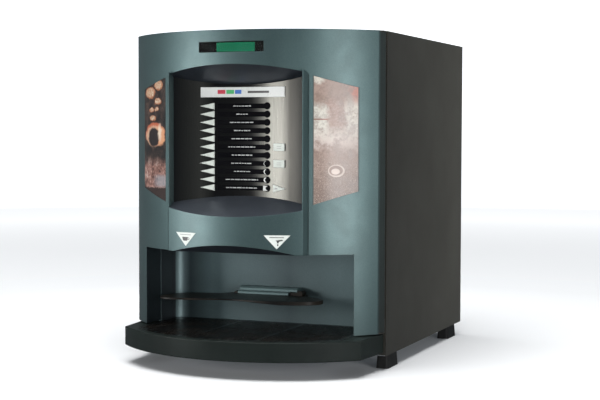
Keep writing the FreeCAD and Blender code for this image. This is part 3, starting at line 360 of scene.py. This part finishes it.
BOWL = grainy("bowl_plastic", (0.46, 0.44, 0.37), (0.60, 0.58, 0.50), 0.001, (0.35, 0.5))
BOARD = grainy("circuit_board", (0.006, 0.05, 0.02), (0.015, 0.10, 0.04), 0.003, (0.3, 0.45))
STEEL = brushed("brushed_stainless", (0.42, 0.42, 0.42), (0.62, 0.62, 0.62), "z")
MOTOR = brushed("zinc_motor", (0.30, 0.30, 0.31), (0.45, 0.45, 0.46), "y", (0.35, 0.5))
ZINC = brushed("bright_zinc", (0.50, 0.50, 0.48), (0.70, 0.70, 0.67), "x", (0.2, 0.32))
BRASS = brushed("turned_brass", (0.42, 0.27, 0.08), (0.62, 0.43, 0.16), "z", (0.22, 0.35))
GALV = galvanised("galvanised_sheet")


def glossy_black(name, cold, warm, rough=(0.28, 0.44), specular=0.25):
    """Black moulding with a faint brown tint, haze and hairline scuffs."""
    s = Shader(name, Specular_IOR_Level=specular)
    scuff = s.noise(0.0012, 4.0, 0.7, s.stretch((1.0, 0.08, 1.0)))
    slow = s.noise(0.05, 3.0)
    s.color(s.ramp(slow, [(0.35, cold), (0.70, warm)]))
    s.rough(s.remap(s.math("ADD", s.math("MULTIPLY", scuff, 0.6), s.math("MULTIPLY", slow, 0.4)),
                    0.3, 0.7, *rough))
    s.bump(scuff, 0.00001, 0.4, 0.0006)
    return s.mat


GLOSS = glossy_black("gloss_black", (0.004, 0.004, 0.004), (0.010, 0.008, 0.006), (0.20, 0.32), 0.12)
STAND = glossy_black("stand_black", (0.006, 0.006, 0.006), (0.030, 0.024, 0.018), (0.34, 0.48))
LABEL = glossy_black("label_black", (0.002, 0.002, 0.003), (0.005, 0.005, 0.006), (0.45, 0.6), 0.03)


def panel_overlay(name):
    """Dark brushed overlay with painted highlight bands and painted shade, blacker towards its left edge."""
    s = Shader(name, Metallic=1.0)
    x, _, _ = s.axes()
    lines = s.noise(0.0007, 3.0, 0.6, s.stretch((1.0, 1.0, 0.02)))
    low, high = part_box("selection_panel")
    # painted reflection: bright bands and painted shade along the panel, darkest at the left
    painted_sheen = s.ramp(s.remap(x, low.x, high.x), [(0.0, (0.034, 0.036, 0.038)), (0.18, (0.150, 0.148, 0.132)),
                                              (0.28, (0.034, 0.034, 0.035)), (0.55, (0.024, 0.024, 0.024)),
                                              (0.70, (0.130, 0.128, 0.114)), (0.79, (0.088, 0.086, 0.077)),
                                              (0.86, (0.030, 0.029, 0.026)), (1.0, (0.020, 0.020, 0.019))])
    s.color(s.mix(s.remap(lines, 0.3, 0.7, 0.0, 0.25), painted_sheen, (0.02, 0.02, 0.02)))
    s.rough(s.remap(lines, 0.3, 0.7, 0.27, 0.33))
    s.bump(lines, 0.00001, 0.15, 0.0)
    return s.mat


PANEL = panel_overlay("panel_overlay")


def lcd_face(name):
    """Black display frame with a green back-lit field and faint empty character cells."""
    s = Shader(name, Emission_Strength=1.0, Specular_IOR_Level=0.04)
    x, y, z = s.axes()
    low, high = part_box("lcd_module")
    front = s.band(y, low.y - 0.002, low.y + 0.0012, 0.0001)
    field_x = s.band(x, *LCD_FIELD_X, 0.0002)
    field_z = s.band(z, *LCD_FIELD_Z, 0.0002)
    field = s.math("MULTIPLY", front, s.math("MULTIPLY", field_x, field_z))
    cell = s.math("FRACT", s.math("MULTIPLY", x, 1.0 / LCD_CELL))
    cells = s.math("MULTIPLY", s.band(cell, 0.12, 0.88, 0.03), s.band(z, *LCD_CELL_Z, 0.0002))
    glow = s.mix(cells, (0.010, 0.150, 0.072), (0.007, 0.115, 0.056))
    glow = s.mix(s.remap(s.noise(0.02, 2.0), 0.3, 0.7, 0.0, 0.3), glow, (0.015, 0.19, 0.10))
    base = s.ramp(s.noise(0.001, 2.0), [(0.3, (0.006, 0.006, 0.006)), (0.7, (0.014, 0.013, 0.012))])
    s.color(s.mix(field, base, glow))
    s.link(s.mix(field, (0.0, 0.0, 0.0), glow), s.bsdf.inputs["Emission Color"])
    s.rough(s.remap(s.noise(0.01, 3.0), 0.3, 0.7, 0.3, 0.45))
    return s.mat


def window_glass(name):
    """Lightly smoked clear window with faint smears."""
    s = Shader(name, Transmission_Weight=0.995, IOR=1.10, Specular_IOR_Level=0.1)
    haze = s.noise(0.02, 4.0, 0.6)
    s.color(s.ramp(haze, [(0.3, (0.58, 0.60, 0.60)), (0.8, (0.66, 0.68, 0.68))]))
    s.rough(s.remap(haze, 0.3, 0.8, 0.02, 0.07))
    return s.mat


# Cups of the left print seen from above: x, z, half width, half height
CUPS = ((-0.185, 0.485, 0.0150, 0.0105), (-0.1595, 0.498, 0.0125, 0.0090), (-0.162, 0.470, 0.0100, 0.0060),
        (-0.180, 0.455, 0.0070, 0.0045), (-0.165, 0.456, 0.0060, 0.0040), (-0.177, 0.440, 0.0100, 0.0050))


def poster(name):
    """Two abstract coffee prints: cups seen from above on dark brown, and a pale steam print."""
    s = Shader(name, Coat_Weight=0.3, Coat_Roughness=0.2)
    low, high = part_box("side_posters")
    x, _, z = s.axes()
    blot = s.noise(0.018, 5.0, 0.6)
    fine = s.noise(0.004, 3.0, 0.6)
    grit = s.noise(0.0016, 2.0, 0.6)
    wavy = s.remap(s.noise(0.009, 2.0), 0.3, 0.7, -0.0022, 0.0022)
    px = s.math("ADD", x, wavy)
    pz = s.math("ADD", z, s.remap(fine, 0.3, 0.7, -0.0012, 0.0012))
    dark = s.ramp(s.math("ADD", s.math("MULTIPLY", blot, 0.6), s.math("MULTIPLY", fine, 0.4)),
                  [(0.40, (0.010, 0.009, 0.009)), (0.52, (0.035, 0.022, 0.017)),
                   (0.68, (0.13, 0.075, 0.055))])
    cream = s.ramp(fine, [(0.38, (0.40, 0.16, 0.07)), (0.50, (0.52, 0.32, 0.20)), (0.62, (0.64, 0.54, 0.40))])
    left = dark
    for cx, cz, rx, rz in CUPS:
        left = s.mix(s.spot(px, pz, cx, cz, rx, rz), left, (0.36, 0.12, 0.05))
        left = s.mix(s.spot(px, pz, cx, cz + rz * 0.08, rx * 0.84, rz * 0.80, 0.15), left, cream)
    left = s.mix(s.spot(px, pz, -0.171, 0.411, 0.029, 0.021), left, (0.50, 0.13, 0.06))
    left = s.mix(s.spot(px, pz, -0.173, 0.408, 0.025, 0.018, 0.12), left, (0.66, 0.42, 0.28))
    left = s.mix(s.spot(px, pz, -0.156, 0.409, 0.014, 0.017, 0.15), left, (0.70, 0.33, 0.17))
    left = s.mix(s.spot(px, pz, -0.1740, 0.4060, 0.0170, 0.0170, 0.10), left, (0.020, 0.014, 0.014))
    left = s.mix(s.spot(px, pz, -0.1560, 0.4140, 0.0050, 0.0130, 0.40), left, (0.78, 0.62, 0.48))
    skin = s.ramp(s.math("ADD", s.math("MULTIPLY", blot, 0.55), s.math("MULTIPLY", fine, 0.45)),
                  [(0.40, (0.07, 0.035, 0.03)), (0.50, (0.28, 0.13, 0.10)), (0.58, (0.46, 0.28, 0.23)),
                   (0.66, (0.62, 0.52, 0.48))])
    left = s.mix(s.remap(pz, 0.372, 0.352, 0.0, 0.92), left, skin)
    pale = s.math("MULTIPLY", s.remap(px, -0.178, -0.160, 0.0, 0.7), s.band(pz, 0.318, 0.338, 0.003))
    left = s.mix(pale, left, (0.34, 0.34, 0.36))
    left = s.mix(s.remap(pz, 0.317, 0.315, 0.0, 1.0), left, (0.035, 0.018, 0.014))
    h = s.remap(s.math("ADD", z, s.remap(blot, 0.3, 0.7, -0.010, 0.010)), low.z, high.z)
    right = s.ramp(h, [(0.0, (0.20, 0.13, 0.10)), (0.20, (0.27, 0.18, 0.14)), (0.40, (0.38, 0.26, 0.21)),
                       (0.50, (0.66, 0.55, 0.49)), (0.60, (0.74, 0.70, 0.62)), (0.74, (0.74, 0.71, 0.63)),
                       (0.80, (0.36, 0.25, 0.20)), (1.0, (0.40, 0.28, 0.23))])
    column = s.math("MULTIPLY", s.band(px, 0.162, 0.189, 0.004), s.band(pz, 0.418, 0.470, 0.010))
    right = s.mix(s.math("MULTIPLY", column, 0.85), right, s.ramp(fine, [(0.35, (0.30, 0.15, 0.11)),
                                                                        (0.65, (0.46, 0.30, 0.25))]))
    right = s.mix(s.spot(px, pz, 0.200, 0.455, 0.010, 0.020, 0.6), right, (0.80, 0.74, 0.64))
    right = s.mix(s.spot(px, pz, 0.203, 0.487, 0.008, 0.018, 0.5), right, (0.62, 0.22, 0.15))
    right = s.mix(s.spot(px, pz, 0.147, 0.505, 0.009, 0.007, 0.5), right, (0.80, 0.76, 0.66))
    right = s.mix(s.math("MULTIPLY", s.band(z, 0.4365, 0.4385, 0.0006), s.remap(x, 0.166, 0.160)), right,
                  (0.36, 0.14, 0.10))
    speck = s.math("MULTIPLY", s.remap(grit, 0.50, 0.62, 0.0, 0.6), s.remap(h, 0.42, 0.34, 0.0, 1.0))
    right = s.mix(speck, right, (0.62, 0.50, 0.43))
    right = s.mix(s.remap(s.math("ADD", blot, s.math("MULTIPLY", fine, 0.6)), 0.86, 0.66, 0.0, 0.55), right,
                  (0.20, 0.12, 0.09))
    right = s.mix(s.spot(x, z, 0.1745, 0.3500, 0.0120, 0.0105, 0.05), right, (0.72, 0.60, 0.52))
    right = s.mix(s.spot(x, z, 0.1740, 0.3505, 0.0100, 0.0085, 0.06), right, (0.30, 0.19, 0.15))
    right = s.mix(s.spot(x, z, 0.1735, 0.3490, 0.0062, 0.0050, 0.10), right, (0.80, 0.66, 0.58))
    right = s.mix(s.band(s.math("ABSOLUTE", x), 0.1412, 0.2048, 0.0002), (0.10, 0.11, 0.10), right)
    right = s.mix(s.remap(x, 0.150, 0.195), right, s.mix(1.0, right, (0.72, 0.69, 0.68), "MULTIPLY"))
    s.color(s.mix(0.45, s.mix(s.math("GREATER_THAN", x, 0.0), left, right), (0.5, 0.5, 0.5), "MULTIPLY"))
    s.rough(s.remap(blot, 0.3, 0.7, 0.30, 0.45))
    s.bump(fine, 0.00001, 0.3)
    return s.mat


def printed(name, dark, light, size=0.002, gloss=(0.3, 0.45)):
    s = Shader(name)
    n = s.noise(size, 3.0)
    s.color(s.ramp(n, [(0.3, dark), (0.7, light)]))
    s.rough(s.remap(n, 0.3, 0.7, *gloss))
    return s.mat


LCD = lcd_face("lcd_face")
GLASS = window_glass("smoked_window")
POSTER = poster("poster_print")
# white used for the painted glints at the label ends
GLINT_WHITE = printed("painted_glint_white", (0.55, 0.56, 0.54), (0.70, 0.71, 0.69))
INK_PALE = printed("ink_pale", (0.36, 0.37, 0.36), (0.48, 0.49, 0.48))
INK_DARK = printed("ink_dark", (0.035, 0.035, 0.035), (0.07, 0.068, 0.065))
INK_GREY = printed("ink_grey", (0.20, 0.20, 0.20), (0.30, 0.30, 0.30))
INK_RED = printed("ink_red", (0.42, 0.03, 0.05), (0.55, 0.06, 0.09))
INK_GREEN = printed("ink_green", (0.04, 0.30, 0.10), (0.08, 0.42, 0.16))
INK_BLUE = printed("ink_blue", (0.03, 0.10, 0.38), (0.06, 0.18, 0.50))
PLATE = grainy("plate_white", (0.54, 0.55, 0.53), (0.64, 0.65, 0.63), 0.0015, (0.25, 0.4), 0.00001, 0.0004)

FINISH = {
    "door_shell": DOOR, "bay_liner": BAY, "cup_stand_bracket": BRACKET,
    "left_side_panel": CABINET, "right_side_panel": CABINET, "top_panel": CABINET, "rear_panel": CABINET,
    "drip_tray": TRAY, "drip_grille": GLOSS, "cup_stand": STAND, "levelling_feet": FOOT,
    "selection_panel": PANEL, "label_strips": LABEL, "header_plate": PLATE, "side_posters": POSTER,
    "pictograms": BADGE, "display_lens": GLASS, "lcd_module": LCD, "keypad_board": BOARD,
    "base_pan": GALV, "front_frame": BAY, "canister_shelf": GALV, "door_back_plate": GALV,
    "gear_motors": MOTOR, "mixing_bowls": BOWL, "boiler_tank": STEEL, "water_valves": BRASS,
    "spout_block": BLACK, "mains_inlet": BLACK, "water_inlet_fitting": BRASS, "hinge_brackets": CABINET,
    "panel_screws": ZINC, "lock_barrel": ZINC, "lock_cam": ZINC,
}
FAMILY = {"canister_lid_": LID, "canister_": CLEAR_PLASTIC, "auger_": COIL, "impeller_": COIL,
          "drink_key_": WHITE_KEY, "square_key_": WHITE_KEY, "arrow_key": WHITE_KEY}


def finish_of(node):
    if node in FINISH:
        return FINISH[node]
    return next(m for start, m in FAMILY.items() if node.startswith(start))


for node, obj in NODES.items():
    obj.data.materials.clear()
    obj.data.materials.append(finish_of(node))


# ---------------------------------------------------------------- printed marks and painted glints that follow a surface
def tree_of(node):
    mesh = NODES[node].data
    return BVHTree.FromPolygons([v.co for v in mesh.vertices], [tuple(p.vertices) for p in mesh.polygons])


TREES = {}


def lay(name, node, outlines, material, thick=0.0002, body="door", step=0.003):
    """Thin closed plates of the given x, z outlines laid on the front of a node."""
    tree = TREES.setdefault(node, tree_of(node))
    bm = bmesh.new()
    for outline in outlines:
        verts = [bm.verts.new((x, 0.0, z)) for x, z in outline]
        bm.faces.new(verts)
    xs = [v.co.x for v in bm.verts]
    cut_at = math.floor(min(xs) / step) * step + step
    while cut_at < max(xs):
        geom = bm.verts[:] + bm.edges[:] + bm.faces[:]
        bmesh.ops.bisect_plane(bm, geom=geom, plane_co=(cut_at, 0, 0), plane_no=(1, 0, 0))
        cut_at += step
    for v in bm.verts:
        hit = tree.ray_cast(Vector((v.co.x, -1.0, v.co.z)), Vector((0, 1, 0)))
        v.co = hit[0]
    bmesh.ops.recalc_face_normals(bm, faces=bm.faces[:])
    base = bm.faces[:]
    made = bmesh.ops.extrude_face_region(bm, geom=base)["geom"]
    for v in (g for g in made if isinstance(g, bmesh.types.BMVert)):
        v.co.y -= thick
    bmesh.ops.recalc_face_normals(bm, faces=bm.faces[:])
    mesh = bpy.data.meshes.new(name)
    bm.to_mesh(mesh)
    bm.free()
    obj = bpy.data.objects.new(name, mesh)
    bpy.context.scene.collection.objects.link(obj)
    obj.data.materials.append(material)
    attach(obj, body)
    return obj


def rect(x0, x1, z0, z1):
    return [(x0, z0), (x1, z0), (x1, z1), (x0, z1)]


def round_outline(cx, cz, rx, rz, count=20, start=0.0, end=360.0):
    return [(cx + rx * math.cos(math.radians(start + (end - start) * i / count)),
             cz + rz * math.sin(math.radians(start + (end - start) * i / count))) for i in range(count)]


random.seed(7)
MARK_WIDTHS = (0.034, 0.022, 0.046, 0.031, 0.040, 0.052, 0.039, 0.041, 0.031, 0.062, 0.060)
rows = []
for i in range(11):
    low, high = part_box("drink_key_%02d" % (i + 1))
    rows.append((low.z + high.z) / 2)
strip_low, strip_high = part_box("label_strips")
mid_x = (strip_low.x + strip_high.x) / 2 - 0.005
dashes = []
for z, width in zip(rows, MARK_WIDTHS):
    x = mid_x - width / 2
    while x < mid_x + width / 2 - 0.002:
        dash = min(random.uniform(0.003, 0.009), mid_x + width / 2 - x)
        below = random.uniform(0.0007, 0.0009)
        above = random.uniform(0.0006, 0.0010)
        dashes.append(rect(x, x + dash, z - below, z + above))
        x += dash + 0.0013
lay("label_marks", "label_strips", dashes, INK_PALE)

# Painted glints: white reflections round the end dots of the lowest strips, growing row by row
end_x = strip_high.x - LABEL_END_R
glint_crescents = []
for z, grow in zip(rows[7:10], (0.0006, 0.0016, 0.0024)):
    outer = round_outline(end_x - 0.0012, z, 0.0056, 0.0046, 12, 105, 255)
    inner = round_outline(end_x - 0.0012 + grow, z, 0.0054, 0.0044, 12, 255, 105)
    glint_crescents.append(outer + inner)
lay("label_glints", "label_strips", glint_crescents, GLINT_WHITE, step=0.002)
# painted glint: a white tile round the end dot of the lowest strip
z = rows[10]
dot = round_outline(end_x + 0.0008, z, 0.0036, 0.0034, 16, 90, 270)
tile = [(end_x + 0.0008, z - 0.0041), (end_x - 0.0078, z - 0.0041), (end_x - 0.0078, z + 0.0041),
        (end_x + 0.0008, z + 0.0041)]
lay("label_glint_tile", "label_strips", [tile + dot], GLINT_WHITE, step=0.002)

for node in ("square_key_upper", "square_key_lower"):
    low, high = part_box(node)
    kx, kz = (low.x + high.x) / 2, (low.z + high.z) / 2
    marks = [rect(kx - 0.0045, kx + 0.0045, kz - 0.0022, kz - 0.0014),
             rect(kx - 0.0045, kx + 0.0045, kz + 0.0012, kz + 0.0020)]
    lay(node + "_mark", node, marks, INK_GREY, body=node)
low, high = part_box("arrow_key")
kx, kz = low.x + 0.008, (low.z + high.z) / 2
arrow = [(kx - 0.003, kz - 0.0018), (kx + 0.003, kz), (kx - 0.003, kz + 0.0018)]
lay("arrow_key_mark", "arrow_key", [arrow], INK_GREY, body="arrow_key")

head_low, head_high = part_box("header_plate")
hz = (head_low.z + head_high.z) / 2
for bar_name, x0, x1, ink in (("header_bar_red", -0.050, -0.036, INK_RED),
                              ("header_bar_green", -0.034, -0.020, INK_GREEN),
                              ("header_bar_blue", -0.018, -0.006, INK_BLUE)):
    lay(bar_name, "header_plate", [rect(x0, x1, hz - 0.003, hz + 0.004)], ink)
lay("header_bar_grey", "header_plate", [rect(0.006, 0.048, hz - 0.0018, hz + 0.002)], INK_DARK)

badge_low, badge_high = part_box("pictograms")
bz = (badge_low.z + badge_high.z) / 2


def on_badge(outline, side, lift=ICON_LIFT):
    """An outline moved to the left (-1) or right (1) pictogram plate."""
    return [(x + side * BADGE_X, z + bz + lift) for x, z in outline]


cup = [(-0.0075, 0.0035), (0.0055, 0.0035), (0.004, -0.0022), (0.0018, -0.0032), (-0.0038, -0.0032),
       (-0.006, -0.0022)]
handle = [(0.0056, 0.003), (0.0085, 0.002), (0.0078, -0.001), (0.0048, -0.0016), (0.0046, -0.0006),
          (0.0068, -0.0002), (0.0074, 0.0014), (0.0056, 0.002)]
bar = rect(-0.012, 0.012, 0.0075, 0.0086)
lay("badge_icon_cup", "pictograms", [on_badge(cup, -1), on_badge(handle, -1)], INK_DARK)
tap = [[(-0.002, 0.0025), (0.009, 0.004), (0.0105, 0.0022), (0.0035, 0.0005), (0.0030, -0.0022),
        (0.0008, -0.0022), (0.0006, 0.0006)],
       round_outline(0.0018, -0.0052, 0.0012, 0.0017, 10)]
lay("badge_icon_tap", "pictograms", [on_badge(shape, 1) for shape in tap] + [on_badge(bar, 1, 0.0)], INK_DARK)
lay("badge_bar_cup", "pictograms", [on_badge(bar, -1, 0.0)], INK_GREY)


# ---------------------------------------------------------------- studio
FLOOR_R = 5.0
WALL_H = 5.0
GLOW_FROM = 1.2
GLOW_FULL = 4.0


def paper(name, color, glow):
    """Pale studio paper, lit up softly with distance from the object so that its far part stays pale."""
    s = Shader(name, Roughness=0.6)
    tone = s.ramp(s.noise(0.8, 2.0), [(0.3, [c * 0.985 for c in color]), (0.7, color)])
    s.color(tone)
    s.link(tone, s.bsdf.inputs["Emission Color"])
    x, y, _ = s.axes()
    away = s.math("SQRT", s.math("ADD", s.math("MULTIPLY", x, x), s.math("MULTIPLY", y, y)))
    s.link(s.remap(away, GLOW_FROM, GLOW_FULL, 0.0, glow), s.bsdf.inputs["Emission Strength"])
    return s.mat


def revolved(name, profile, material):
    """A surface of revolution about the vertical axis through the origin."""
    count = 96
    bm = bmesh.new()
    rings = []
    for r, z in profile:
        angles = [2.0 * math.pi * i / count for i in range(count)]
        rings.append([bm.verts.new((r * math.cos(a), r * math.sin(a), z)) for a in angles])
    for low_ring, high_ring in zip(rings, rings[1:]):
        for i in range(count):
            j = (i + 1) % count
            bm.faces.new((low_ring[i], low_ring[j], high_ring[j], high_ring[i]))
    if profile[0][1] == profile[1][1]:
        bm.faces.new(rings[0])
    mesh = bpy.data.meshes.new(name)
    bm.to_mesh(mesh)
    bm.free()
    mesh.materials.append(material)
    obj = bpy.data.objects.new(name, mesh)
    bpy.context.scene.collection.objects.link(obj)
    obj.visible_glossy = False
    obj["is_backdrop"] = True
    return obj


revolved("studio_floor", [(0.5, 0.0), (FLOOR_R, 0.0)], paper("floor_paper", (0.92, 0.93, 0.94), 0.8))
cove = [(FLOOR_R + math.sin(math.radians(a)), 1.0 - math.cos(math.radians(a))) for a in range(0, 91, 9)]
wall = revolved("studio_wall", cove + [(FLOOR_R + 1.0, WALL_H)], paper("wall_paper", (0.92, 0.94, 0.96), 0.9))
wall.visible_diffuse = False


def area(name, azimuth, distance, height, size, power, aim=(0.0, -0.1, 0.3)):
    """Soft box at an azimuth measured from straight in front, positive to the right."""
    data = bpy.data.lights.new(name, "AREA")
    data.shape = "RECTANGLE"
    data.size, data.size_y = size
    data.energy = power
    obj = bpy.data.objects.new(name, data)
    a = math.radians(azimuth)
    obj.location = (distance * math.sin(a), -distance * math.cos(a), height)
    way = Vector(aim) - obj.location
    obj.rotation_mode = "QUATERNION"
    obj.rotation_quaternion = way.to_track_quat("-Z", "Y")
    bpy.context.scene.collection.objects.link(obj)


area("box_left", -46, 2.2, 0.34, (0.8, 0.5), 18)
area("box_right", 52, 2.4, 0.34, (0.9, 0.5), 19)
area("box_top", 0, 0.3, 2.6, (2.4, 2.4), 116, aim=(0, 0.1, 0.4))

world = bpy.data.worlds.new("studio")
world.use_nodes = True
world.node_tree.nodes["Background"].inputs["Color"].default_value = (0.86, 0.93, 1.0, 1.0)
world.node_tree.nodes["Background"].inputs["Strength"].default_value = 0.18
bpy.context.scene.world = world
bpy.context.scene.view_settings.view_transform = "Standard"

low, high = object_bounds()
